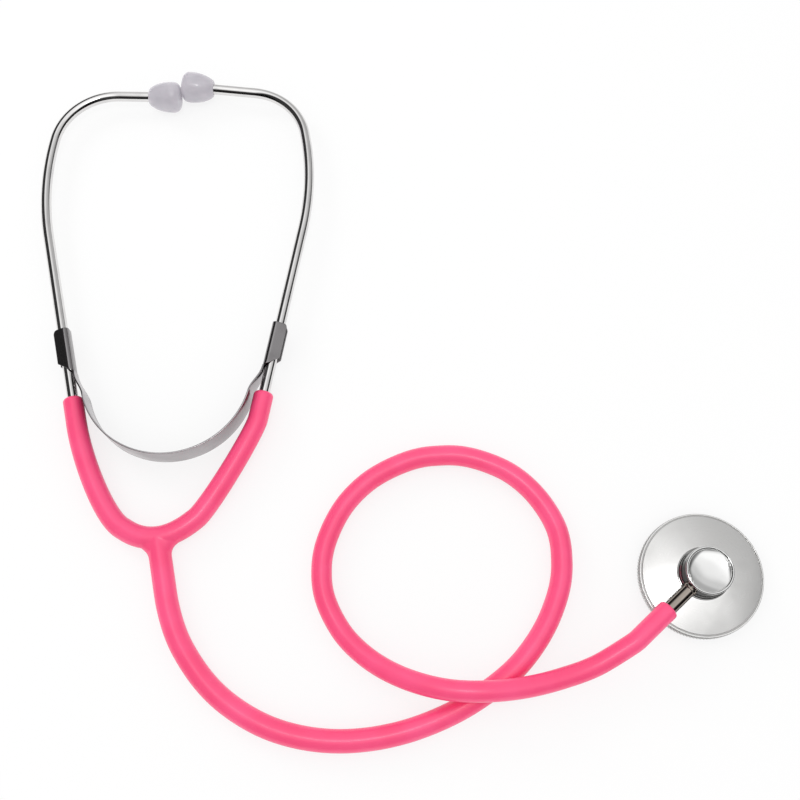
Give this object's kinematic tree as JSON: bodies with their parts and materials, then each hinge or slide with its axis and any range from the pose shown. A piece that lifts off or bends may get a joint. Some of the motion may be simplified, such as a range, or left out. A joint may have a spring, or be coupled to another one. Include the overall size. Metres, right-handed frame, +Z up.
{
  "type": "toy stethoscope",
  "caption": "Child's stethoscope: sprung metal ear tubes with soft tips, a forked vinyl hose lying in one loop, and a round chestpiece with a diaphragm.",
  "frame": {"origin": "centre of the diaphragm's outer face, on the table that the stethoscope lies on", "axes": "+Z up from the table; +Y along the ear tubes, from the hose fork towards the ear tips; +X to the right, from the ear tubes towards the chestpiece"},
  "size_m": [0.2695, 0.272, 0.0157],
  "materials": {
    "ear_tip_vinyl": "soft grey vinyl, satin",
    "tube_chrome": "bright nickel-chrome plated steel tube",
    "spring_steel": "satin rolled spring steel",
    "hose_vinyl": "pink flexible vinyl, semi-gloss",
    "hub_chrome": "bright plated",
    "chest_aluminium": "fine turned aluminium",
    "diaphragm_plastic": "white semi-rigid sheet"
  },
  "bodies": {
    "tubing": {"hose_fork": "hose_vinyl", "main_hose": "hose_vinyl", "hose_cuff": "hose_vinyl", "left_hose_arm": "hose_vinyl", "right_hose_arm": "hose_vinyl", "leaf_spring": "spring_steel"},
    "left_binaural": {"left_ear_tube": "tube_chrome", "left_spring_clip": "spring_steel", "left_hose_sleeve": "hose_vinyl"},
    "right_binaural": {"right_ear_tube": "tube_chrome", "right_spring_clip": "spring_steel", "right_hose_sleeve": "hose_vinyl"},
    "left_tip": {"left_ear_tip": "ear_tip_vinyl"},
    "right_tip": {"right_ear_tip": "ear_tip_vinyl"},
    "chestpiece": {"stem": "hub_chrome", "hub": "hub_chrome", "chest_plate": "chest_aluminium", "diaphragm": "diaphragm_plastic"},
    "ring": {"retaining_ring": "chest_aluminium"}
  },
  "joints": [
    {"name": "left_tube_spread", "type": "hinge", "parent": "tubing", "child": "left_binaural", "pos_m": [-0.2119, 0.0607, 0.0062], "axis": [0, 0, 1], "range_deg": [0, 30], "stiffness_Nm_per_rad": 0.7, "springref_deg": -2.86, "deforming": ["leaf_spring", "left_hose_arm"]},
    {"name": "right_tube_spread", "type": "hinge", "parent": "tubing", "child": "right_binaural", "pos_m": [-0.1723, 0.0607, 0.0062], "axis": [0, 0, -1], "range_deg": [0, 30], "stiffness_Nm_per_rad": 0.7, "springref_deg": -2.86, "deforming": ["leaf_spring", "right_hose_arm"]},
    {"name": "left_tip_turn", "type": "hinge", "parent": "left_binaural", "child": "left_tip", "pos_m": [-0.20558, 0.2057, 0.0062], "axis": [0.9986, -0.0523, 0], "continuous": true},
    {"name": "right_tip_turn", "type": "hinge", "parent": "right_binaural", "child": "right_tip", "pos_m": [-0.17873, 0.20859, 0.0062], "axis": [-0.9903, 0.1392, 0], "continuous": true},
    {"name": "chestpiece_turn", "type": "hinge", "parent": "tubing", "child": "chestpiece", "pos_m": [0, 0, 0.0105], "axis": [-0.766, -0.6428, 0], "continuous": true},
    {"name": "ring_unscrew", "type": "hinge", "parent": "chestpiece", "child": "ring", "pos_m": [0, 0, 0], "axis": [0, 0, 1], "continuous": true}
  ],
  "couplings": [
    {"joint": "right_tube_spread", "follows": "left_tube_spread", "ratio": 1}
  ]
}
